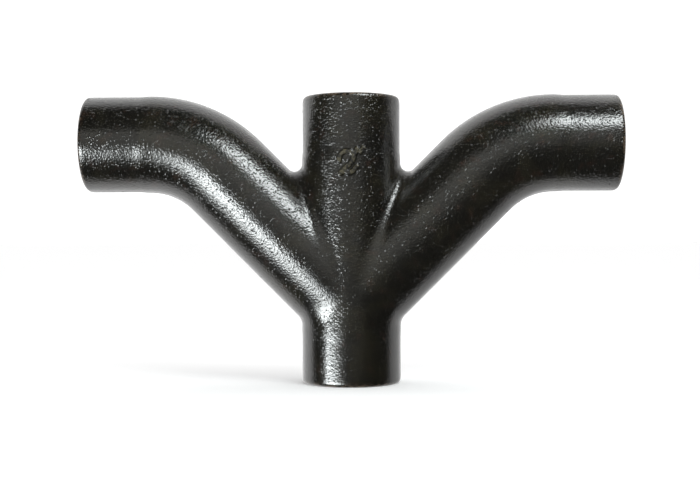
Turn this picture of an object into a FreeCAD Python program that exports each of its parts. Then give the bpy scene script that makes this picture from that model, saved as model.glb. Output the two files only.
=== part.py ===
"""Double combination wye for hubless cast iron drain pipe, nominal size 2 inch.

One sand casting: an upright run, and two branches that leave it at 45 degrees from one
junction point and turn outwards through an eighth bend, so that they end level. All four
ends are plain spigots that a coupling sleeve slides over. Millimetres. The origin is the
centre of the run's lower end, +Z goes up the run, and the branches lie along +X and -X.
"""

import FreeCAD, Part
import math
import os

# Barrels
BARREL_OD = 58.2          # outside diameter of each branch
RUN_ALLOWANCE = 0.4       # by which the run's radius is larger, so that the branches run into it
WALL = 4.3                # metal thickness of the barrels

# Branches
BRANCH_ANGLE = 45.0       # degrees between the run and a branch
OUTLET_RISE = 95.3        # height of an outlet's axis above the junction point
BEND_RADIUS = 66.0        # centreline radius of the eighth bend

# Spigots: the last stretch of each barrel, a little slimmer, after a short taper
LOWER_SPIGOT_LENGTH = 29.0
UPPER_SPIGOT_LENGTH = 33.0
OUTLET_SPIGOT_LENGTH = 32.4
SPIGOT_TAPER = 5.0
LOWER_SPIGOT_STEP = 0.1   # by which the radius is smaller than the barrel's
UPPER_SPIGOT_STEP = 0.4
OUTLET_SPIGOT_STEP = 0.4

# Plain barrel that stays clear before each taper
LOWER_NECK = 0.62         # under the heels of the branches
UPPER_NECK = 2.68         # above the crotches
OUTLET_NECK = 1.0         # after the bend

# Rounding along the crease between run and branch. It grows from the crotch, which is
# above the branch, round the front and back to the heel, which is below it.
CROTCH_RADIUS = 5.0       # outside of the casting
HEEL_RADIUS = 9.0
CORE_CROTCH_RADIUS = 2.5  # inside, on the edge between the two waterways
CORE_HEEL_RADIUS = 4.5

# Chamfers of the four ends
RIM_OUTER_CHAMFER = 1.0
RIM_INNER_CHAMFER = 0.7

CORE_OVERRUN = 6.0        # by which the core reaches past each end

UP = FreeCAD.Vector(0, 0, 1)
OUTWARD = FreeCAD.Vector(1, 0, 0)
LEAN = math.radians(BRANCH_ANGLE)
SLANT = UP * math.cos(LEAN) + OUTWARD * math.sin(LEAN)
BRANCH_RADIUS = BARREL_OD / 2
RUN_RADIUS = BRANCH_RADIUS + RUN_ALLOWANCE

# Where the crease's rounding ends on the run, as heights from the junction point
HEEL_DROP = ((BRANCH_RADIUS + HEEL_RADIUS) / math.sin(LEAN)
             - (RUN_RADIUS + HEEL_RADIUS) / math.tan(LEAN))
CROTCH_RISE = ((BRANCH_RADIUS + CROTCH_RADIUS) / math.sin(LEAN)
               + (RUN_RADIUS + CROTCH_RADIUS) / math.tan(LEAN))

# The run's body lies between the two tapers, and the spigots are its ends
BODY_BOTTOM = UP * (LOWER_SPIGOT_LENGTH + SPIGOT_TAPER)
JUNCTION = BODY_BOTTOM + UP * (LOWER_NECK + HEEL_DROP)
BODY_TOP = JUNCTION + UP * (CROTCH_RISE + UPPER_NECK)
RUN_TOP = BODY_TOP + UP * (SPIGOT_TAPER + UPPER_SPIGOT_LENGTH)

BRANCH_CORNER = JUNCTION + SLANT * (OUTLET_RISE / math.cos(LEAN))
BEND_TURN = math.radians(90.0) - LEAN
BEND_TANGENT = BEND_RADIUS * math.tan(BEND_TURN / 2)
BEND_END = BRANCH_CORNER + OUTWARD * BEND_TANGENT
NECK_END = BEND_END + OUTWARD * OUTLET_NECK
OUTLET_END = NECK_END + OUTWARD * (SPIGOT_TAPER + OUTLET_SPIGOT_LENGTH)


def branch_path(end):
    """The centreline of the right branch: the slant, the bend and the level outlet."""
    bend_start = BRANCH_CORNER - SLANT * BEND_TANGENT
    bend_centre = BEND_END - UP * BEND_RADIUS
    to_middle = UP * math.cos(BEND_TURN / 2) - OUTWARD * math.sin(BEND_TURN / 2)
    bend_middle = bend_centre + to_middle * BEND_RADIUS

    return Part.Wire([
        Part.makeLine(JUNCTION, bend_start),
        Part.Arc(bend_start, bend_middle, BEND_END).toShape(),
        Part.makeLine(BEND_END, end),
    ])


def branch_bar(radius, end):
    """A round bar swept along the right branch's centreline, up to a point on the outlet."""
    section = Part.Wire(Part.makeCircle(radius, JUNCTION, SLANT))
    return branch_path(end).makePipeShell([section], True, False, 1)


def run_bar(radius, bottom, top):
    """A round bar along the run, between two points on its axis."""
    return Part.makeCylinder(radius, (top - bottom).Length, bottom, UP)


def is_crease(shape, edge):
    """True for an edge where the round wall of the run meets that of a branch."""
    walls = [face.Surface for face in shape.ancestorsOfType(edge, Part.Face)]
    if len(walls) != 2 or not all(isinstance(wall, Part.Cylinder) for wall in walls):
        return False
    return walls[0].Axis.cross(walls[1].Axis).Length > 0.1


def right_half(shape):
    """The half of a shape that lies at +X of its mirror plane."""
    bounds = shape.BoundBox
    bounds.enlarge(1.0)
    corner = FreeCAD.Vector(0, bounds.YMin, bounds.ZMin)
    return shape.common(Part.makeBox(bounds.XMax, bounds.YLength, bounds.ZLength, corner))


def with_mirror_image(half):
    """Both halves of a shape, joined in the plane x = 0."""
    image = half.mirror(FreeCAD.Vector(0, 0, 0), OUTWARD)
    return half.fuse(image).removeSplitter()


def blended_half(run, branch, crotch_radius, heel_radius):
    """Half of the run with the right branch on it, and a growing fillet along the crease."""
    half = right_half(run.fuse(branch).removeSplitter())
    creases = [edge for edge in half.Edges if is_crease(half, edge)]
    from_crotch = [edge for edge in creases if edge.Vertexes[0].Z > edge.Vertexes[-1].Z]
    return half.makeFillet(crotch_radius, heel_radius, from_crotch[:1])


def spigot(barrel_radius, step, length, end, direction):
    """The taper from a barrel to its spigot and the spigot itself, as one round solid."""
    taper = Part.makeCone(barrel_radius, barrel_radius - step, SPIGOT_TAPER,
                          end - direction * (length + SPIGOT_TAPER), direction)
    straight = Part.makeCylinder(barrel_radius - step, length, end - direction * length, direction)
    return taper.fuse(straight)


def outside():
    """The casting's outer form: the blended barrels with a spigot on each end."""
    half = blended_half(run_bar(RUN_RADIUS, BODY_BOTTOM, BODY_TOP),
                        branch_bar(BRANCH_RADIUS, NECK_END), CROTCH_RADIUS, HEEL_RADIUS)
    outlet = spigot(BRANCH_RADIUS, OUTLET_SPIGOT_STEP, OUTLET_SPIGOT_LENGTH, OUTLET_END, OUTWARD)
    lower = spigot(RUN_RADIUS, LOWER_SPIGOT_STEP, LOWER_SPIGOT_LENGTH, UP * 0, -UP)
    upper = spigot(RUN_RADIUS, UPPER_SPIGOT_STEP, UPPER_SPIGOT_LENGTH, RUN_TOP, UP)
    return with_mirror_image(half.fuse(outlet)).fuse([lower, upper]).removeSplitter()


def waterway():
    """The core that leaves the waterway: blended like the outside, and longer at each end."""
    run = run_bar(RUN_RADIUS - WALL, -UP * CORE_OVERRUN, RUN_TOP + UP * CORE_OVERRUN)
    branch = branch_bar(BRANCH_RADIUS - WALL, OUTLET_END + OUTWARD * CORE_OVERRUN)
    return with_mirror_image(blended_half(run, branch, CORE_CROTCH_RADIUS, CORE_HEEL_RADIUS))


def rim_edges(shape, inner):
    """The outer or the inner edge of each of the four flat end faces."""
    rims = []
    for face in shape.Faces:
        if isinstance(face.Surface, Part.Plane):
            edges = sorted(face.Edges, key=lambda edge: edge.Curve.Radius)
            rims.append(edges[0] if inner else edges[-1])
    return rims


def casting():
    """The whole fitting: the outside less the waterway, with its rims chamfered."""
    body = outside().cut(waterway())
    body = body.makeChamfer(RIM_OUTER_CHAMFER, rim_edges(body, inner=False))
    return body.makeChamfer(RIM_INNER_CHAMFER, rim_edges(body, inner=True))


def export(name, shape):
    """Writes one solid to parts/name.step."""
    solid = shape.Solids[0]
    if len(shape.Solids) != 1 or not solid.isValid():
        raise RuntimeError(f"{name} is not one valid solid")
    solid.exportStep(f"parts/{name}.step")
    print(name, round(solid.Volume), "mm3", solid.BoundBox)


os.makedirs("parts", exist_ok=True)
export("wye_casting", casting())
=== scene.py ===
"""Looks of the double combination wye: one black coated sand casting on a pale floor.

Lengths in the classes are millimetres, as on a drawing. MM turns them into metres where a
mesh, a lamp or the camera is made. Angles are degrees. +Z goes up the run, and the raised
numeral looks towards -Y.
"""

import logging
import math
from dataclasses import dataclass
from enum import Enum

import bmesh
import bpy
import numpy as np
from mathutils import Euler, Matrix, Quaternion, Vector


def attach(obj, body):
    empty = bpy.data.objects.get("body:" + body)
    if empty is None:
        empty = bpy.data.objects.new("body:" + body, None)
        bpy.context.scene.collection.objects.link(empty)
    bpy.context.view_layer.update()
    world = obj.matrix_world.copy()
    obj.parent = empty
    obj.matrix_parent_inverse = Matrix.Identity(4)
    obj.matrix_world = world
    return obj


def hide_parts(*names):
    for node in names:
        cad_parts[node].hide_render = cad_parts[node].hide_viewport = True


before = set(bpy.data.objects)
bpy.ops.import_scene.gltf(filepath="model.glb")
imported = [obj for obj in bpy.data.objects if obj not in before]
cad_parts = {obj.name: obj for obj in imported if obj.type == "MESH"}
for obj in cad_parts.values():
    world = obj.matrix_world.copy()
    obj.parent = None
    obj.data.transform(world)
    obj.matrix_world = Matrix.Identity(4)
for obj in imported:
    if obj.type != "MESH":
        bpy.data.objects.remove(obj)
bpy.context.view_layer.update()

MM = 0.001
EIGHTH = 45.0            # the branches' angle with the run, and the turn of their bends
LEAN = math.sqrt(0.5)    # how far out, and how far up, one millimetre of the slant leads
CLOSE = 1e-6             # numbers that differ by less count as equal
NODE = "wye_casting"
PIECE = "coated_casting"

log = logging.getLogger("wye")

Socket = bpy.types.NodeSocket
Sockets = bpy.types.bpy_prop_collection
Feed = Socket | float | tuple
Pair = tuple[float, float]
Triple = tuple[float, float, float]


class Mark(Enum):
    """Names of the values that the casting's mesh carries for its finish."""

    SKIN = "skin_depth"
    RIM = "rim_edge"
    NUMERAL = "numeral_face"
    WATERWAY = "waterway_side"
    COARSE = "grain_share"


# Node trees
class Board:
    """Short ways to lay nodes into a tree and to wire them."""

    def __init__(self, tree: bpy.types.NodeTree) -> None:
        """Starts on a tree and empties it."""
        self.tree = tree
        tree.nodes.clear()

    def node(self, kind: str, inputs: dict[str | int, Feed] | None = None,
             **settings: object) -> bpy.types.Node:
        """Adds one node.

        Args:
            kind: Blender's name for the node's type.
            inputs: What its sockets are fed, by their names or numbers.
            settings: Values of the node's own properties.

        Returns:
            The new node.
        """
        made = self.tree.nodes.new(kind)
        for name, value in settings.items():
            setattr(made, name, value)
        for key, source in (inputs or {}).items():
            self.feed(made.inputs[key], source)
        return made

    def feed(self, socket: Socket, source: Feed) -> None:
        """Gives a socket its value, or a wire from another socket.

        Args:
            socket: The input to fill.
            source: A number, a colour or vector, or an output to wire.
        """
        if isinstance(source, Socket):
            self.tree.links.new(source, socket)
        else:
            socket.default_value = source

    def calc(self, kind: str, first: Feed, second: Feed = 0.0) -> Socket:
        """Adds a Math node with one operation, such as MULTIPLY, and gives its result."""
        return self.node("ShaderNodeMath", {0: first, 1: second}, operation=kind).outputs[0]

    def ramp(self, value: Feed, low: Feed, high: Feed, start: Feed = 0.0,
             end: Feed = 1.0) -> Socket:
        """Adds a smooth step: from start to end, while the value goes from low to high."""
        inputs = dict(enumerate((value, low, high, start, end)))
        return self.node("ShaderNodeMapRange", inputs, interpolation_type="SMOOTHSTEP").outputs[0]

    def blend(self, share: Feed, first: Feed, second: Feed) -> Socket:
        """Mixes two colours, from the first one at a share of 0 to the second one at 1."""
        inputs = {"Factor": share, 6: first, 7: second}
        return self.node("ShaderNodeMix", inputs, data_type="RGBA").outputs[2]

    def noise(self, place: Feed, size: Feed, detail: float, stretch: float = 0.0) -> Socket:
        """Adds a cloud pattern with marks of a given size.

        Args:
            place: Coordinates, in metres.
            size: Size of one mark, in millimetres.
            detail: Number of finer layers.
            stretch: Distortion of the pattern.

        Returns:
            The pattern, around 0.5.
        """
        made = self.node("ShaderNodeTexNoise", {
            "Vector": place, "Scale": self.calc("DIVIDE", 1.0 / MM, size),
            "Detail": detail, "Distortion": stretch})
        return made.outputs[0]


# Meshes and objects
def eased(share: np.ndarray) -> np.ndarray:
    """Smooth step from 0 to 1, level at both ends."""
    return share * share * (3 - 2 * share)


def spots_at(x: np.ndarray, y: np.ndarray, z: np.ndarray) -> np.ndarray:
    """Points from their coordinates, which may be whole grids, single rows or columns."""
    return np.stack(np.broadcast_arrays(x, y, z), axis=-1)


def read_points(mesh: bpy.types.Mesh) -> np.ndarray:
    """Reads a mesh's points.

    Args:
        mesh: The mesh.

    Returns:
        One row for each point.
    """
    flat = np.empty(len(mesh.vertices) * 3, np.float32)
    mesh.vertices.foreach_get("co", flat)
    return flat.reshape(-1, 3).astype(float)


def write_points(mesh: bpy.types.Mesh, points: np.ndarray) -> None:
    """Moves a mesh's points to new places."""
    mesh.vertices.foreach_set("co", points.astype(np.float32).ravel())
    mesh.update()


def write_mark(mesh: bpy.types.Mesh, mark: Mark, values: np.ndarray) -> None:
    """Stores one value for each point of a mesh, in the order of the points."""
    layer = mesh.attributes.new(mark.value, "FLOAT", "POINT")
    layer.data.foreach_set("value", values.astype(np.float32))


def add_object(name: str, data: bpy.types.ID) -> bpy.types.Object:
    """Makes an object and links it to the scene.

    Args:
        name: Its name.
        data: Its mesh, lamp or camera.

    Returns:
        The object.
    """
    made = bpy.data.objects.new(name, data)
    bpy.context.scene.collection.objects.link(made)
    return made


# Form of the casting
@dataclass(frozen=True)
class Route:
    """Centrelines of the run and of the right branch."""

    junction: float = 50.0
    run_top: float = 173.4
    outlet_rise: float = 95.3
    bend_radius: float = 66.0
    outlet_end: float = 161.04

    @property
    def tangent(self) -> float:
        """Length that the eighth bend takes off each leg of the branch."""
        return self.bend_radius * math.tan(math.radians(EIGHTH / 2))

    @property
    def slant(self) -> float:
        """Straight length from the junction point to the bend."""
        return self.outlet_rise / LEAN - self.tangent

    @property
    def bend_end(self) -> float:
        """Distance of the bend's end from the run's axis."""
        return self.outlet_rise + self.tangent

    @property
    def outlet_axis(self) -> float:
        """Height of the outlets' axis."""
        return self.junction + self.outlet_rise


@dataclass(frozen=True)
class Skin:
    """One side of the wall, outside or waterway: its radii, and how finely it is divided.

    The crease's rounding has a radius in the crotch and one at the heel, and the belly makes
    it wider between the two. Steps pair places along a barrel with how much slimmer it is.
    """

    run: float
    branch: float
    crotch: float
    heel: float
    belly: float
    fillet_cells: int
    upper_rows: int
    lower_rows: int
    slant_rows: int
    bend_rows: int
    outlet_rows: int
    edge: float
    run_steps: tuple[Pair, ...] = ((0.0, 0.0),)
    outlet_steps: tuple[Pair, ...] = ((0.0, 0.0),)

    @staticmethod
    def stepped(radius: float, steps: tuple[Pair, ...], along: np.ndarray) -> np.ndarray:
        """Radius along a barrel that has slimmer spigots."""
        places, drops = zip(*steps)
        return radius - np.interp(along, places, drops)

    def run_radius(self, height: np.ndarray) -> np.ndarray:
        """Radius of the run at each height."""
        return self.stepped(self.run, self.run_steps, height)

    def outlet_radius(self, reach: np.ndarray) -> np.ndarray:
        """Radius of an outlet at each distance from the run's axis."""
        return self.stepped(self.branch, self.outlet_steps, reach)

    def ball(self, turn: np.ndarray) -> np.ndarray:
        """Radius of the rounding along the crease.

        Args:
            turn: Angles round the branch.

        Returns:
            The radii. The belly leaves those in the crotch and at the heel as they are.
        """
        rise = (1 + np.sin(turn)) / 2
        wide = self.belly * np.cos(turn) ** 3 * rise ** 2
        return self.crotch + (self.heel - self.crotch) * rise + wide


class Quarter:
    """Grids of points on the quarter of the casting at +X and -Y, which the others mirror.

    The crease between run and branch is followed by one angle round the branch: -90 at the
    crotch, 0 at the front and 90 at the heel. Angles inside the methods are in radians.
    """

    STEP = 2.5         # angle between two columns round the branch
    STRIP = 10.0       # angle, up and down from the front, of the strip between the creases
    STRIP_CELLS = 4    # cells from a crease to the middle of that strip
    EDGE_POINTS = 5    # points over each rounded edge of a rim
    FACE_POINTS = 2    # points between a rim's two edges
    WELD = 0.004       # gap below which two points become one

    def __init__(self, route: Route) -> None:
        """Starts with no grids.

        Args:
            route: The centrelines.
        """
        self.route = route
        self.points: list[np.ndarray] = []
        self.quads: list[np.ndarray] = []
        self.size = 0
        self.turns = np.radians(np.arange(-90.0, 90.0 + self.STEP / 2, self.STEP))

    def add(self, grid: np.ndarray) -> None:
        """Takes in a grid of points as quads.

        Args:
            grid: Points, rows by columns by 3.
        """
        rows, columns = grid.shape[:2]
        index = self.size + np.arange(rows * columns).reshape(rows, columns)
        corners = (index[:-1, :-1], index[:-1, 1:], index[1:, 1:], index[1:, :-1])
        self.quads.append(np.stack(corners, axis=-1).reshape(-1, 4))
        self.points.append(grid.reshape(-1, 3))
        self.size += rows * columns

    def balls(self, skin: Skin, turn: np.ndarray) -> tuple[np.ndarray, np.ndarray, np.ndarray]:
        """Rolls the ball that rounds the crease.

        Args:
            skin: The side of the wall.
            turn: Angles round the branch.

        Returns:
            The ball's centres, and where it touches the run and the branch.
        """
        radius = skin.ball(turn)
        y = -(skin.branch + radius) * np.cos(turn)
        w = (skin.branch + radius) * np.sin(turn)
        x = np.sqrt((skin.run + radius) ** 2 - y ** 2)
        z = self.route.junction + x - w / LEAN
        share = skin.run / (skin.run + radius)
        on_branch = self.on_slant(skin, x / LEAN - w, turn)
        return spots_at(x, y, z), spots_at(x * share, y * share, z), on_branch

    @staticmethod
    def round_run(radius: float | np.ndarray, around: np.ndarray,
                  height: np.ndarray) -> np.ndarray:
        """Points round the run's axis, from their radius, azimuth and height."""
        return spots_at(radius * np.cos(around), radius * np.sin(around), height)

    def on_slant(self, skin: Skin, along: np.ndarray, turn: np.ndarray) -> np.ndarray:
        """Points on the branch's slanted barrel.

        Args:
            skin: The side of the wall.
            along: Distance from the junction point.
            turn: Angle round the branch.

        Returns:
            The points.
        """
        out = skin.branch * np.sin(turn)
        z = self.route.junction + LEAN * (along - out)
        return spots_at(LEAN * (along + out), -skin.branch * np.cos(turn), z)

    def on_outlet(self, radius: float | np.ndarray, reach: np.ndarray) -> np.ndarray:
        """Points on the branch's level barrel, or on its rim.

        Args:
            radius: Distance from the outlet's axis.
            reach: Distance from the run's axis.

        Returns:
            The points, at all angles round the branch.
        """
        z = self.route.outlet_axis - radius * np.sin(self.turns)
        return spots_at(reach, -radius * np.cos(self.turns), z)

    def on_bend(self, skin: Skin, turned: np.ndarray) -> np.ndarray:
        """Points on the eighth bend.

        Args:
            skin: The side of the wall.
            turned: How far the bend has turned.

        Returns:
            The points, at all angles round the branch.
        """
        lean = math.radians(EIGHTH) - turned
        distance = self.route.bend_radius - skin.branch * np.sin(self.turns)
        x = self.route.bend_end - distance * np.sin(lean)
        z = self.route.outlet_axis - self.route.bend_radius + distance * np.cos(lean)
        return spots_at(x, -skin.branch * np.cos(self.turns), z)

    def add_branch(self, skin: Skin) -> None:
        """Lays the rounding along the crease, the slant, the bend and the outlet.

        Args:
            skin: The side of the wall.
        """
        centre, on_run, on_branch = self.balls(skin, self.turns)
        radius = skin.ball(self.turns)[:, None]
        first, last = (on_run - centre) / radius, (on_branch - centre) / radius
        angle = np.arccos(np.clip((first * last).sum(axis=-1), -1, 1))[:, None]
        share = np.linspace(0, 1, skin.fillet_cells + 1)[:, None, None]
        arc = (np.sin((1 - share) * angle) * first + np.sin(share * angle) * last) / np.sin(angle)
        self.add(centre + radius * arc)

        start = centre[:, 0] / LEAN - (skin.branch + radius[:, 0]) * np.sin(self.turns)
        rows = np.linspace(0, 1, skin.slant_rows + 1)[:, None]
        self.add(self.on_slant(skin, start + (self.route.slant - start) * rows, self.turns))
        turned = np.radians(np.linspace(0, EIGHTH, skin.bend_rows + 1))[:, None]
        self.add(self.on_bend(skin, turned))
        end = self.route.outlet_end - skin.edge
        reach = np.linspace(self.route.bend_end, end, skin.outlet_rows + 1)[:, None]
        self.add(self.on_outlet(skin.outlet_radius(reach), reach))

    def half_strip(self, skin: Skin, turn: np.ndarray) -> np.ndarray:
        """Points across the run's front between the creases of the two branches.

        Args:
            skin: The side of the wall.
            turn: Angles round the branch, each of which gives one row.

        Returns:
            The rows, from the crease to the middle.
        """
        edge = self.balls(skin, turn)[1]
        azimuth = np.arctan2(edge[:, 1], edge[:, 0])[:, None]
        share = np.linspace(0, 1, self.STRIP_CELLS + 1)
        around = azimuth + (-math.pi / 2 - azimuth) * share
        return self.round_run(skin.run, around, edge[:, 2:])

    def add_run(self, skin: Skin) -> None:
        """Lays the run above the branches, below them, and the strip between the creases.

        Args:
            skin: The side of the wall.
        """
        strip = math.radians(self.STRIP)
        inner = np.abs(self.turns) < strip + CLOSE
        self.add(self.half_strip(skin, self.turns[inner]))
        above = (-1.0, self.route.run_top - skin.edge, skin.upper_rows)
        below = (1.0, skin.edge, skin.lower_rows)
        for side, end, count in (above, below):
            outer = self.turns[self.turns * side > strip - CLOSE]
            outer = outer[np.argsort(-np.abs(outer))]
            middle = self.half_strip(skin, np.array([side * strip]))[0, 1:]
            edge = np.concatenate([self.balls(skin, outer)[1], middle])
            azimuth = np.arctan2(edge[:, 1], edge[:, 0])
            even = np.linspace(0, -math.pi / 2, len(edge))
            share = np.linspace(0, 1, count + 1)[:, None]
            around = azimuth + (even - azimuth) * eased(share)
            height = edge[:, 2] + (end - edge[:, 2]) * share
            self.add(self.round_run(skin.run_radius(height), around, height))

    def add_rims(self, outside: Skin, waterway: Skin) -> None:
        """Lays the rounded end faces, from the outside over to the waterway.

        Args:
            outside: The outer side of the wall.
            waterway: The inner side.
        """
        even = np.linspace(0, -math.pi / 2, len(self.turns) // 2 + 1)
        for height, direction in ((0.0, 1.0), (self.route.run_top, -1.0)):
            outer = float(outside.run_radius(np.array(height)))
            radius, depth = self.rim_profile(outer, waterway.run, outside.edge, waterway.edge)
            self.add(self.round_run(radius, even, height + direction * depth))
        end = self.route.outlet_end
        outer = float(outside.outlet_radius(np.array(end)))
        radius, depth = self.rim_profile(outer, waterway.branch, outside.edge, waterway.edge)
        self.add(self.on_outlet(radius, end - depth))

    def rim_profile(self, outer: float, inner: float, outer_edge: float,
                    inner_edge: float) -> tuple[np.ndarray, np.ndarray]:
        """Section of an end face with both its edges rounded.

        Args:
            outer: Outside radius.
            inner: Radius of the waterway.
            outer_edge: Radius of the outer edge's rounding.
            inner_edge: Radius of the inner edge's rounding.

        Returns:
            Radii and depths below the end, one row each.
        """
        swing = np.radians(np.linspace(0, 90, self.EDGE_POINTS))
        face = np.linspace(outer - outer_edge, inner + inner_edge, self.FACE_POINTS + 2)
        radius = [outer - outer_edge * (1 - np.cos(swing)), face[1:-1],
                  inner + inner_edge * (1 - np.cos(swing[::-1]))]
        depth = [outer_edge * (1 - np.sin(swing)), np.zeros(self.FACE_POINTS),
                 inner_edge * (1 - np.sin(swing[::-1]))]
        return np.concatenate(radius)[:, None], np.concatenate(depth)[:, None]

    def whole(self, name: str) -> bpy.types.Mesh:
        """Joins the quarter and its three mirror images into one closed mesh.

        Args:
            name: Name of the mesh.

        Returns:
            The mesh, in millimetres, with its faces outwards.
        """
        points, quads = np.concatenate(self.points), np.concatenate(self.quads)
        signs = np.array([(1, 1, 1), (-1, 1, 1), (1, -1, 1), (-1, -1, 1)], float)
        every = np.concatenate([points * sign for sign in signs])
        faces = np.concatenate([quads + self.size * n for n in range(len(signs))])
        mesh = bpy.data.meshes.new(name)
        mesh.from_pydata(every.tolist(), [], faces.tolist())
        work = bmesh.new()
        work.from_mesh(mesh)
        bmesh.ops.remove_doubles(work, verts=work.verts, dist=self.WELD)
        bmesh.ops.recalc_face_normals(work, faces=work.faces)
        work.to_mesh(mesh)
        work.free()
        return mesh


@dataclass(frozen=True)
class Numeral:
    """The raised size numeral, a 2 with its inch marks, drawn on the front of the run.

    Lines run through points given across and up. The box is the part of the front that is
    divided finely for them: its left, right, low and high ends. Only what lies within one
    layer of the outside is touched, out to a margin round the box.
    """

    bow: tuple[Pair, ...] = (
        (-6.1, 133.2), (-5.6, 136.3), (-3.1, 138.3), (-0.1, 138.5), (1.9, 136.9), (2.1, 134.3),
        (0.3, 131.4), (-2.6, 128.6), (-5.5, 125.6))
    foot: tuple[Pair, ...] = (
        (-5.5, 125.6), (-2.9, 126.9), (-0.4, 126.0), (2.0, 127.2), (4.0, 129.6))
    ticks: tuple[tuple[Pair, ...], ...] = (
        ((3.1, 137.2), (4.3, 140.0)), ((6.5, 138.2), (7.9, 140.6)))
    half_width: float = 1.1
    shoulder: float = 0.6
    height: float = 1.4
    box: tuple[float, float, float, float] = (-11.5, 12.5, 121.0, 145.5)
    layer: float = 1.5
    margin: float = 2.0
    cuts: int = 4

    @staticmethod
    def smooth(corners: tuple[Pair, ...], cells: int = 8) -> np.ndarray:
        """Draws a smooth line through a few points.

        Args:
            corners: The points, across and up.
            cells: Number of parts between two points.

        Returns:
            The line's points.
        """
        spots = np.array(corners)
        padded = np.concatenate([[2 * spots[0] - spots[1]], spots, [2 * spots[-1] - spots[-2]]])
        share = np.linspace(0, 1, cells, endpoint=False)[:, None]
        runs = []
        for a, b, c, d in zip(padded, padded[1:], padded[2:], padded[3:]):
            cubic = (3 * (b - c) + d - a) * share + 2 * a - 5 * b + 4 * c - d
            runs.append(b + share * (c - a + share * cubic) / 2)
        return np.concatenate([*runs, spots[-1:]])

    def relief(self, spots: np.ndarray) -> np.ndarray:
        """How far the strokes stand up.

        Args:
            spots: Points, across and up.

        Returns:
            Height from 0 to 1 at each point.
        """
        near = np.full(len(spots), np.inf)
        for line in map(self.smooth, (self.bow, self.foot, *self.ticks)):
            for start, end in zip(line[:-1], line[1:]):
                leg = end - start
                share = np.clip((spots - start) @ leg / (leg @ leg), 0, 1)
                gap = np.linalg.norm(spots - start - share[:, None] * leg, axis=1)
                near = np.minimum(near, gap)
        return eased(np.clip((self.half_width + self.shoulder - near) / self.shoulder, 0, 1))

    def divide(self, mesh: bpy.types.Mesh, floor: float) -> None:
        """Divides the run's front finely inside the box.

        Args:
            mesh: The casting, in millimetres.
            floor: Distance from the run's axis past which its outside lies.
        """
        left, right, low, high = self.box
        work = bmesh.new()
        work.from_mesh(mesh)
        edges: dict[bmesh.types.BMEdge, None] = {}
        for face in work.faces:
            at = face.calc_center_median()
            if left < at.x < right and low < at.z < high and at.y < 0:
                if at.x ** 2 + at.y ** 2 > floor ** 2:
                    edges.update(dict.fromkeys(face.edges))
        bmesh.ops.subdivide_edges(work, edges=list(edges), cuts=self.cuts, use_grid_fill=True)
        work.to_mesh(mesh)
        work.free()

    def raise_on(self, mesh: bpy.types.Mesh, skin: Skin) -> None:
        """Lifts the strokes out of the run's front.

        Args:
            mesh: The casting, in millimetres.
            skin: Its outside.
        """
        floor = skin.run - self.layer
        self.divide(mesh, floor)
        left, right, low, high = self.box
        points = read_points(mesh)
        x, y, z = points.T
        reach = np.hypot(x, y)
        near = ((x > left - self.margin) & (x < right + self.margin)
                & (z > low - self.margin) & (z < high + self.margin)
                & (y < 0) & (reach > floor))
        spots = points[near]
        across = np.arctan2(spots[:, 0], -spots[:, 1]) * skin.run
        rise = self.relief(np.stack([across, spots[:, 2]], axis=-1))
        wanted = skin.run_radius(spots[:, 2]) + self.height * rise
        spots[:, :2] *= (wanted / reach[near])[:, None]
        points[near] = spots
        write_points(mesh, points)
        mask = np.zeros(len(points))
        mask[near] = rise
        write_mark(mesh, Mark.NUMERAL, mask)


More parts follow.
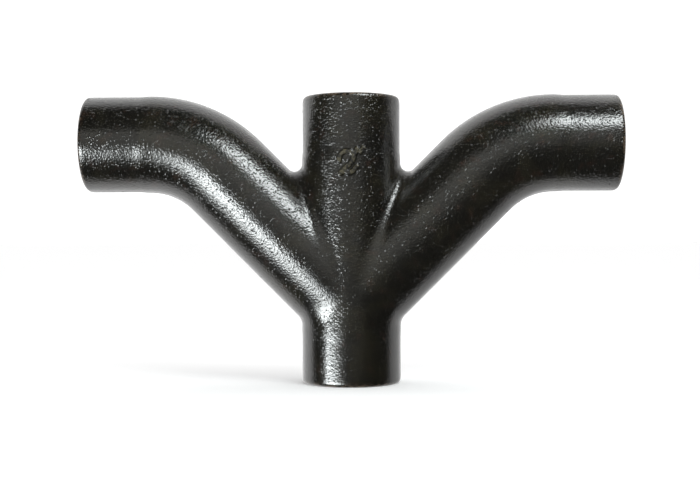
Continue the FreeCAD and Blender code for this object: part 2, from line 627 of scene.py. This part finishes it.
@dataclass(frozen=True)
class SandSkin:
    """What the sand mould and the brushed coat leave on the form, laid by Geometry Nodes.

    The two halves of the mould part in the plane of the branches, and leave a low seam there.
    Nubs are small flat bumps at random places. Their rise is a share of their radius.
    """

    swell: float = 0.07
    swell_size: float = 13.0
    ripple: float = 0.05
    ripple_size: float = 3.6
    seam: float = 0.28
    seam_width: float = 2.6
    nubs_per_m2: float = 900.0
    nub_low: float = 0.25
    nub_high: float = 0.55
    nub_rise: float = 0.45
    seed: int = 7

    @property
    def sizes(self) -> dict[str, float]:
        """Values of the tree's inputs, which are named like the fields, as in Swell Size."""
        return {name.replace("_", " ").title(): value for name, value in vars(self).items()}

    def tree(self) -> bpy.types.NodeTree:
        """Builds the node tree.

        Returns:
            The tree, with its sizes as named inputs.
        """
        tree = bpy.data.node_groups.new("sand_skin", "GeometryNodeTree")
        sockets = [("Geometry", "Geometry"), ("Coat", "Material"), ("Waterway Coat", "Material")]
        for name, value in self.sizes.items():
            sockets.append((name, "Int" if isinstance(value, int) else "Float"))
        for name, kind in sockets:
            tree.interface.new_socket(name, in_out="INPUT", socket_type="NodeSocket" + kind)
        tree.interface.new_socket("Geometry", in_out="OUTPUT", socket_type="NodeSocketGeometry")

        board = Board(tree)
        given = board.node("NodeGroupInput").outputs
        depth = self.mark(board, Mark.SKIN)
        casting = self.swelled(board, given, depth)
        nubs = self.nubs(board, given, casting, depth)
        joined = board.node("GeometryNodeJoinGeometry", {0: nubs})
        board.feed(joined.inputs[0], casting)
        real = board.node("GeometryNodeRealizeInstances", {0: joined.outputs[0]})
        smooth = board.node("GeometryNodeSetShadeSmooth", {"Geometry": real.outputs[0]})
        coated = board.node("GeometryNodeSetMaterial", {
            "Geometry": smooth.outputs[0], "Material": given["Coat"]})
        inner = board.node("GeometryNodeSetMaterial", {
            "Geometry": coated.outputs[0], "Material": given["Waterway Coat"],
            "Selection": board.calc("GREATER_THAN", self.mark(board, Mark.WATERWAY), 0.5)})
        board.node("NodeGroupOutput", {0: inner.outputs[0]})
        return tree

    @staticmethod
    def swelled(board: Board, given: Sockets, depth: Socket) -> Socket:
        """Moves the surface outwards by the swell, the ripple and the seam.

        Args:
            board: The tree's board.
            given: The tree's inputs.
            depth: Share of the movement that each point gets.

        Returns:
            The moved casting.
        """
        place = board.node("GeometryNodeInputPosition").outputs[0]
        height = 0.0
        for name, detail in (("Swell", 1.0), ("Ripple", 2.0)):
            cloud = board.noise(place, given[name + " Size"], detail)
            cloud = board.calc("SUBTRACT", cloud, 0.5)
            height = board.calc("ADD", height, board.calc("MULTIPLY", cloud, given[name]))
        y = board.node("ShaderNodeSeparateXYZ", {0: place}).outputs["Y"]
        width = board.calc("DIVIDE", board.calc("ABSOLUTE", y), MM / 2)
        seam = board.ramp(width, given["Seam Width"], 0.0, 0.0, given["Seam"])
        height = board.calc("MULTIPLY", board.calc("ADD", height, seam), depth)
        normal = board.node("GeometryNodeInputNormal").outputs[0]
        metres = board.calc("MULTIPLY", height, MM)
        offset = board.node("ShaderNodeVectorMath", {0: normal, "Scale": metres},
                            operation="SCALE")
        moved = board.node("GeometryNodeSetPosition", {
            "Geometry": given["Geometry"], "Offset": offset.outputs[0]})
        return moved.outputs[0]

    @staticmethod
    def nubs(board: Board, given: Sockets, casting: Socket, depth: Socket) -> Socket:
        """Spreads nubs over the casting.

        Args:
            board: The tree's board.
            given: The tree's inputs.
            casting: The surface that they stand on.
            depth: Share of their density at each point.

        Returns:
            The nubs.
        """
        spread = board.node("GeometryNodeDistributePointsOnFaces", {
            "Mesh": casting, "Seed": given["Seed"],
            "Density": board.calc("MULTIPLY", given["Nubs Per M2"], depth)})
        pick = board.node("FunctionNodeRandomValue", {
            2: given["Nub Low"], 3: given["Nub High"], "Seed": given["Seed"]},
            data_type="FLOAT")
        radius = board.calc("MULTIPLY", pick.outputs[1], MM)
        rise = board.calc("MULTIPLY", radius, given["Nub Rise"])
        scale = board.node("ShaderNodeCombineXYZ", {"X": radius, "Y": radius, "Z": rise})
        bead = board.node("GeometryNodeMeshIcoSphere", {"Radius": 1.0, "Subdivisions": 2})
        placed = board.node("GeometryNodeInstanceOnPoints", {
            "Points": spread.outputs["Points"], "Instance": bead.outputs["Mesh"],
            "Rotation": spread.outputs["Rotation"], "Scale": scale.outputs[0]})
        return placed.outputs[0]

    @staticmethod
    def mark(board: Board, mark: Mark) -> Socket:
        """Reads one of the mesh's own values."""
        return board.node("GeometryNodeInputNamedAttribute", {"Name": mark.value},
                          data_type="FLOAT").outputs["Attribute"]

    def lay_on(self, piece: bpy.types.Object, coat: bpy.types.Material,
               waterway: bpy.types.Material) -> bpy.types.Mesh:
        """Runs the tree on the casting.

        Args:
            piece: The plain casting.
            coat: Finish of the outside.
            waterway: Finish of the waterway.

        Returns:
            The finished mesh.
        """
        tree = self.tree()
        values = {**self.sizes, "Coat": coat, "Waterway Coat": waterway}
        modifier = piece.modifiers.new("sand_skin", "NODES")
        modifier.node_group = tree
        for item in tree.interface.items_tree:
            if item.in_out == "INPUT" and item.name in values:
                modifier[item.identifier] = values[item.name]
        graph = bpy.context.evaluated_depsgraph_get()
        mesh = bpy.data.meshes.new_from_object(piece.evaluated_get(graph))
        piece.modifiers.remove(modifier)
        return mesh


# Finishes
class Effects:
    """Shader node groups that both coats use, each built once."""

    DOME = (0.60, 0.02)          # distances from a grain's middle, at its foot and its top
    RARITY = 4.0                 # power that leaves few of the grains high
    CLOUD_STRETCH = 0.6          # distortion of the clouds of thin coat
    TINGE_SIZE = 0.31            # size of the rusty clouds, as a share of theirs
    THIN_STEP = (0.42, 0.66)     # cloud values between which the coat gets thin
    TINGE_STEP = (0.55, 0.75)    # cloud values between which the tinge comes in

    def __init__(self) -> None:
        """Builds the groups."""
        self.grain = self.build_grain()
        self.mottle = self.build_mottle()

    @staticmethod
    def start(name: str, inputs: tuple[str, ...], outputs: tuple[str, ...]) -> Board:
        """Opens a shader node group.

        Args:
            name: Name of the group.
            inputs: Names of its number inputs, after the coordinates.
            outputs: Names of its number outputs.

        Returns:
            A board on the group's tree.
        """
        tree = bpy.data.node_groups.new(name, "ShaderNodeTree")
        tree.interface.new_socket("Place", in_out="INPUT", socket_type="NodeSocketVector")
        for side, labels in (("INPUT", inputs), ("OUTPUT", outputs)):
            for label in labels:
                tree.interface.new_socket(label, in_out=side, socket_type="NodeSocketFloat")
        return Board(tree)

    def build_grain(self) -> bpy.types.NodeTree:
        """Sand grain under the coat: small round bumps, and a finer tooth on them.

        Returns:
            The group, which puts out a height from 0 to about 1.
        """
        board = self.start("cast_grain", ("Grain Size", "Tooth Size", "Tooth", "Evenness"),
                           ("Height",))
        given = board.node("NodeGroupInput").outputs
        scale = board.calc("DIVIDE", 1.0 / MM, given["Grain Size"])
        cells = board.node("ShaderNodeTexVoronoi", {"Vector": given["Place"], "Scale": scale},
                           feature="F1")
        dome = board.ramp(cells.outputs["Distance"], *self.DOME)
        pick = board.node("ShaderNodeSeparateColor", {0: cells.outputs["Color"]})
        size = board.calc("POWER", pick.outputs[0], self.RARITY)
        size = board.calc("MAXIMUM", size, given["Evenness"])
        tooth = board.noise(given["Place"], given["Tooth Size"], 1.0)
        height = board.calc("ADD", board.calc("MULTIPLY", dome, size),
                            board.calc("MULTIPLY", tooth, given["Tooth"]))
        board.node("NodeGroupOutput", {0: height})
        return board.tree

    def build_mottle(self) -> bpy.types.NodeTree:
        """Uneven thickness of the brushed coat, as two masks.

        Returns:
            The group, which puts out a mask of thin coat and one of rusty tinge.
        """
        board = self.start("coat_mottle", ("Cloud Size", "Thin", "Tinge"), ("Thin", "Tinge"))
        given = board.node("NodeGroupInput").outputs
        clouds = board.noise(given["Place"], given["Cloud Size"], 4.0, self.CLOUD_STRETCH)
        size = board.calc("MULTIPLY", given["Cloud Size"], self.TINGE_SIZE)
        small = board.noise(given["Place"], size, 5.0)
        thin = board.calc("MULTIPLY", board.ramp(clouds, *self.THIN_STEP), given["Thin"])
        tinge = board.calc("MULTIPLY", board.ramp(small, *self.TINGE_STEP), given["Tinge"])
        board.node("NodeGroupOutput", {0: thin, 1: tinge})
        return board.tree


@dataclass(frozen=True)
class BitumenCoat:
    """Brushed black bitumen on cast iron, thinner and browner in places.

    Steps are the pattern values between which a patch comes in. Chips show bare iron on the
    rims, and brown on the numeral's face, where the grain is calmer too.
    """

    name: str
    black: Triple = (0.0046, 0.0042, 0.0032)
    olive: Triple = (0.0100, 0.0088, 0.0050)
    rust: Triple = (0.0260, 0.0110, 0.0070)
    brown: Triple = (0.0400, 0.0352, 0.0200)
    bare: Triple = (0.1100, 0.0750, 0.0480)
    ior: float = 1.75
    gloss: float = 0.17
    dull: float = 0.21
    dull_size: float = 9.0
    dull_step: Pair = (0.35, 0.65)
    grain_size: float = 1.15
    grain_depth: float = 0.275
    evenness: float = 0.1
    tooth_size: float = 1.2
    tooth: float = 0.65
    cloud_size: float = 22.0
    thin: float = 0.6
    tinge: float = 0.25
    chip_size: float = 2.2
    chip_step: Pair = (0.44, 0.58)
    wear: float = 0.7
    worn_dull: float = 0.3
    numeral_step: Pair = (0.5, 1.0)
    numeral_calm: float = 0.6
    numeral_wear: float = 0.8

    def material(self, effects: Effects) -> bpy.types.Material:
        """Builds the material.

        Args:
            effects: The shared node groups.

        Returns:
            The material.
        """
        made = bpy.data.materials.new(self.name)
        made.use_nodes = True
        board = Board(made.node_tree)
        place = board.node("ShaderNodeTexCoord").outputs["Object"]
        mottle = board.node("ShaderNodeGroup", {
            "Place": place, "Cloud Size": self.cloud_size, "Thin": self.thin,
            "Tinge": self.tinge}, node_tree=effects.mottle)
        grain = board.node("ShaderNodeGroup", {
            "Place": place, "Grain Size": self.grain_size, "Tooth Size": self.tooth_size,
            "Tooth": self.tooth, "Evenness": self.evenness}, node_tree=effects.grain)

        figure = board.ramp(self.mark(board, Mark.NUMERAL), *self.numeral_step)
        chips = board.ramp(board.noise(place, self.chip_size, 4.0), *self.chip_step)
        worn = board.calc("MULTIPLY", self.mark(board, Mark.RIM), chips)
        worn = board.calc("MULTIPLY", worn, self.wear)
        rubbed = board.calc("MULTIPLY", figure, chips)
        rubbed = board.calc("MULTIPLY", rubbed, self.numeral_wear)
        colour = (*self.black, 1)
        for share, tone in ((mottle.outputs["Thin"], self.olive),
                            (mottle.outputs["Tinge"], self.rust),
                            (rubbed, self.brown), (worn, self.bare)):
            colour = board.blend(share, colour, (*tone, 1))
        roughness = board.ramp(board.noise(place, self.dull_size, 3.0), *self.dull_step,
                               self.gloss, self.dull)
        roughness = board.calc("ADD", roughness, board.calc("MULTIPLY", worn, self.worn_dull))

        left = board.calc("SUBTRACT", 1.0, board.calc("MULTIPLY", figure, self.numeral_calm))
        share = board.calc("MULTIPLY", self.mark(board, Mark.COARSE), left)
        height = board.calc("MULTIPLY", grain.outputs["Height"], share)
        bump = board.node("ShaderNodeBump", {"Strength": 1.0, "Height": height,
                                             "Distance": self.grain_depth * MM})
        shader = board.node("ShaderNodeBsdfPrincipled", {
            "Base Color": colour, "Roughness": roughness, "IOR": self.ior,
            "Normal": bump.outputs[0]})
        board.node("ShaderNodeOutputMaterial", {"Surface": shader.outputs[0]})
        return made

    @staticmethod
    def mark(board: Board, mark: Mark) -> Socket:
        """Reads one of the mesh's own values."""
        return board.node("ShaderNodeAttribute", attribute_name=mark.value).outputs["Fac"]


# The casting
@dataclass(frozen=True)
class Casting:
    """The whole fitting: run, two branches, four spigots and the raised numeral.

    The coat is worn up to rim_wear from each end, and the sand skin comes in over rim_calm.
    Points less than run_side outside the run's barrel are the run's. Those less than
    core_side outside the waterway are the waterway's, and have its coat from core_start on.
    Coarseness is the grain's share on the run at each height, and 1 on the branches.
    """

    route: Route = Route()
    outside: Skin = Skin(run=29.7, branch=29.25, crotch=5.0, heel=9.0, belly=88.0,
                         fillet_cells=14, upper_rows=60, lower_rows=28, slant_rows=66,
                         bend_rows=36, outlet_rows=26, edge=2.2,
                         run_steps=((26.0, 0.1), (31.0, 0.0), (135.4, 0.0), (140.4, 0.4)),
                         outlet_steps=((123.64, 0.0), (128.64, 0.4)))
    waterway: Skin = Skin(run=25.2, branch=24.8, crotch=2.5, heel=4.5, belly=0.0,
                          fillet_cells=6, upper_rows=14, lower_rows=8, slant_rows=18,
                          bend_rows=10, outlet_rows=6, edge=0.7)
    numeral: Numeral = Numeral()
    skin: SandSkin = SandSkin()
    coat: BitumenCoat = BitumenCoat("black_bitumen_coat")
    core_coat: BitumenCoat = BitumenCoat("waterway_bitumen_coat", gloss=0.34, dull=0.5,
                                         grain_depth=0.2)
    rim_wear: float = 2.5
    rim_calm: float = 4.0
    run_side: float = 3.0
    core_side: float = 1.0
    core_start: float = 2.0
    coarseness: tuple[Pair, ...] = ((15.0, 0.5), (60.0, 0.8), (100.0, 1.0), (125.0, 1.2))

    def form(self) -> bpy.types.Mesh:
        """Builds the plain form.

        Returns:
            The mesh, in millimetres.
        """
        quarter = Quarter(self.route)
        for skin in (self.outside, self.waterway):
            quarter.add_branch(skin)
            quarter.add_run(skin)
        quarter.add_rims(self.outside, self.waterway)
        mesh = quarter.whole(PIECE)
        self.numeral.raise_on(mesh, self.outside)
        return mesh

    def to_axis(self, points: np.ndarray) -> np.ndarray:
        """Distance of each point from the nearest centreline.

        Args:
            points: The points.

        Returns:
            The distances.
        """
        route = self.route
        x, y, z = np.abs(points[:, 0]), points[:, 1], points[:, 2]
        up = z - route.junction
        run = np.hypot(x, y)
        along = np.clip((x + up) * LEAN, 0, route.slant)
        slant = np.sqrt((x - along * LEAN) ** 2 + y ** 2 + (up - along * LEAN) ** 2)
        drop = z - (route.outlet_axis - route.bend_radius)
        bend = np.hypot(np.hypot(x - route.bend_end, drop) - route.bend_radius, y)
        outlet = np.hypot(y, z - route.outlet_axis)
        branch = np.where(x > route.bend_end, outlet,
                          np.where(along < route.slant - CLOSE, slant, bend))
        return np.minimum(run, branch)

    def mark_mesh(self, mesh: bpy.types.Mesh) -> None:
        """Writes the values that the sand skin and the coat read.

        Args:
            mesh: The plain form, in millimetres.
        """
        points = read_points(mesh)
        x, z = np.abs(points[:, 0]), points[:, 2]
        on_run = x < self.outside.run + self.run_side
        to_end = np.where(on_run, np.minimum(z, self.route.run_top - z),
                          self.route.outlet_end - x)
        inside = self.to_axis(points) < self.waterway.run + self.core_side
        calm = eased(np.clip(to_end / self.rim_calm, 0, 1))
        coarse = np.interp(z, *zip(*self.coarseness))
        write_mark(mesh, Mark.SKIN, np.where(inside, 0.0, calm))
        write_mark(mesh, Mark.RIM, np.clip(1 - to_end / self.rim_wear, 0, 1))
        write_mark(mesh, Mark.WATERWAY, np.where(inside & (to_end > self.core_start), 1.0, 0.0))
        write_mark(mesh, Mark.COARSE, np.where(on_run, coarse, 1.0))

    def build(self, effects: Effects) -> bpy.types.Object:
        """Builds and dresses the casting.

        Args:
            effects: The shared node groups.

        Returns:
            The finished piece.
        """
        mesh = self.form()
        self.mark_mesh(mesh)
        write_points(mesh, read_points(mesh) * MM)
        piece = add_object(PIECE, mesh)
        coats = [coat.material(effects) for coat in (self.coat, self.core_coat)]
        piece.data = self.skin.lay_on(piece, *coats)
        piece.data.name = PIECE
        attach(piece, "root")
        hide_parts(NODE)
        return piece


# Floor, light and camera
@dataclass(frozen=True)
class Softbox:
    """A rectangular lamp that looks at a point, and fades towards its edges.

    Fades are the shares of its width and height over which its glow comes in.
    """

    name: str
    place: Triple
    target: Triple
    width: float
    height: float
    radiance: float
    roll: float = 0.0
    left_fade: float = 0.3
    right_fade: float = 0.3
    low_fade: float = 0.3
    high_fade: float = 0.3
    tint: Triple = (0.95, 1.0, 1.0)
    object_only: bool = False

    def dress(self, lamp: bpy.types.AreaLight) -> None:
        """Fades the lamp's glow towards its edges.

        Args:
            lamp: The lamp.
        """
        lamp.use_nodes = True
        board = Board(lamp.node_tree)
        grid = board.node("ShaderNodeNewGeometry").outputs["Parametric"]
        spot = board.node("ShaderNodeSeparateXYZ", {0: grid}).outputs
        level = 1.0
        for value, start, fade in ((spot["X"], 0.0, self.left_fade),
                                   (spot["X"], 1.0, -self.right_fade),
                                   (spot["Y"], 0.0, self.low_fade),
                                   (spot["Y"], 1.0, -self.high_fade)):
            level = board.calc("MULTIPLY", board.ramp(value, start, start + fade), level)
        glow = board.node("ShaderNodeEmission", {"Strength": level})
        board.node("ShaderNodeOutputLight", {0: glow.outputs[0]})

    def build(self, lit: bpy.types.Object) -> None:
        """Builds the lamp.

        Args:
            lit: The casting, for a lamp that lights nothing else.
        """
        lamp = bpy.data.lights.new(self.name, "AREA")
        lamp.shape = "RECTANGLE"
        lamp.size, lamp.size_y = self.width * MM, self.height * MM
        lamp.energy = self.radiance * math.pi * lamp.size * lamp.size_y
        lamp.color = self.tint
        self.dress(lamp)
        made = add_object(self.name, lamp)
        made.location = Vector(self.place) * MM
        facing = (Vector(self.target) - Vector(self.place)).to_track_quat("-Z", "Y")
        roll = Quaternion((0, 0, 1), math.radians(self.roll))
        made.rotation_euler = (facing @ roll).to_euler()
        made.visible_camera = False
        if self.object_only:
            group = bpy.data.collections.new(self.name + "_lights")
            group.objects.link(lit)
            made.light_linking.receiver_collection = group
            made.light_linking.blocker_collection = group


@dataclass(frozen=True)
class Studio:
    """Pale floor, white surroundings, soft lamps and the camera.

    Over back_step, the surroundings go from dark_level in front of the casting to back_level
    behind it. Over right_step, they go down to right_share on the right, most so low down.
    """

    floor_side: float = 60000.0
    floor_colour: float = 0.80
    floor_glow: float = 0.22
    camera_distance: float = 715.0
    camera_aside: float = -0.77
    camera_height: float = 86.6
    camera_turn: float = 1.63
    camera_roll: float = 0.14
    focal_pixels: float = 1173.0
    picture_width: float = 700.0
    sensor: float = 36.0
    dark_level: float = 0.02
    back_level: float = 1.25
    back_step: Pair = (0.04, 0.40)
    right_share: float = 0.66
    right_step: Pair = (0.1, 0.4)
    right_low: float = -0.15
    sky_level: float = 0.55
    sky_spread: float = 70.0
    lamps: tuple[Softbox, ...] = (
        Softbox("low_left_softbox", place=(-1212, -1377, -826), target=(-40, 0, 85),
                width=1660, height=1170, radiance=24.5, roll=-12.5, left_fade=0.02,
                right_fade=0.52, low_fade=0.98, high_fade=0.02, object_only=True),
        Softbox("high_right_softbox", place=(400, -480, 690), target=(30, 0, 120),
                width=640, height=350, radiance=14.0, low_fade=0.45),
        Softbox("camera_side_glow", place=(-115, -735, 190), target=(-85, 0, 150),
                width=1500, height=800, radiance=0.62, left_fade=0.35, right_fade=0.35,
                low_fade=0.85, high_fade=0.12, tint=(1.0, 0.99, 0.93), object_only=True),
    )

    def build_floor(self) -> None:
        """Builds the floor, which is pale, and a little brighter where the camera sees it."""
        half = self.floor_side * MM / 2
        mesh = bpy.data.meshes.new("floor")
        corners = [(-half, -half, 0), (half, -half, 0), (half, half, 0), (-half, half, 0)]
        mesh.from_pydata(corners, [], [(0, 1, 2, 3)])
        floor = add_object("floor", mesh)
        made = bpy.data.materials.new("pale_floor")
        made.use_nodes = True
        board = Board(made.node_tree)
        plain = board.node("ShaderNodeBsdfDiffuse", {"Color": (*(self.floor_colour,) * 3, 1)})
        seen = board.node("ShaderNodeLightPath").outputs["Is Camera Ray"]
        glow = board.node("ShaderNodeEmission",
                          {"Strength": board.calc("MULTIPLY", seen, self.floor_glow)})
        both = board.node("ShaderNodeAddShader", {0: plain.outputs[0], 1: glow.outputs[0]})
        board.node("ShaderNodeOutputMaterial", {0: both.outputs[0]})
        mesh.materials.append(made)
        floor.visible_glossy = False

    def build_world(self) -> None:
        """Makes the surroundings: white where the camera sees them, uneven for the casting."""
        world = bpy.data.worlds.new("white_surroundings")
        bpy.context.scene.world = world
        world.use_nodes = True
        board = Board(world.node_tree)
        way = board.node("ShaderNodeTexCoord").outputs["Generated"]
        way = board.node("ShaderNodeSeparateXYZ", {0: way}).outputs
        level = board.ramp(way["Y"], *self.back_step, self.dark_level, self.back_level)
        aside = board.calc("ADD", way["X"], board.calc("MULTIPLY", way["Z"], self.right_low))
        right = board.ramp(aside, *self.right_step, 1.0, self.right_share)
        seen = board.node("ShaderNodeLightPath").outputs["Is Camera Ray"]
        level = board.calc("MAXIMUM", board.calc("MULTIPLY", level, right), seen)
        glow = board.node("ShaderNodeBackground", {"Strength": level, "Color": (1, 1, 1, 1)})
        board.node("ShaderNodeOutputWorld", {0: glow.outputs[0]})

    def build_camera(self) -> None:
        """Places the camera, which is turned a little round the run and rolled a little."""
        lens = bpy.data.cameras.new("camera")
        lens.sensor_width = self.sensor
        lens.lens = self.focal_pixels * self.sensor / self.picture_width
        camera = add_object("camera", lens)
        turn = Euler((0, 0, math.radians(self.camera_turn)))
        place = Vector((self.camera_aside, -self.camera_distance, self.camera_height))
        place.rotate(turn)
        camera.location = place * MM
        camera.rotation_euler = Euler((math.pi / 2, math.radians(self.camera_roll), turn.z))
        bpy.context.scene.camera = camera

    def build_sky(self) -> None:
        """Lights the floor evenly from above, which the gloss doesn't show."""
        lamp = bpy.data.lights.new("overhead_sky", "SUN")
        lamp.energy = self.sky_level * math.pi
        lamp.angle = math.radians(self.sky_spread)
        add_object("overhead_sky", lamp).visible_glossy = False

    def build(self, lit: bpy.types.Object) -> None:
        """Builds everything round the casting.

        Args:
            lit: The casting.
        """
        self.build_floor()
        self.build_world()
        self.build_camera()
        self.build_sky()
        for lamp in self.lamps:
            lamp.build(lit)
        bpy.context.scene.view_settings.view_transform = "Standard"


def main() -> None:
    """Builds the casting, then the floor, the lamps and the camera."""
    logging.basicConfig(level=logging.INFO, format="%(name)s %(message)s")
    casting = Casting().build(Effects())
    triangles = sum(len(face.vertices) - 2 for face in casting.data.polygons)
    log.info("%s: %d triangles", casting.name, triangles)
    studio = Studio()
    studio.build(casting)
    log.info("studio: a floor, a sky, %d softboxes and a camera", len(studio.lamps))


if __name__ == "__main__":
    main()
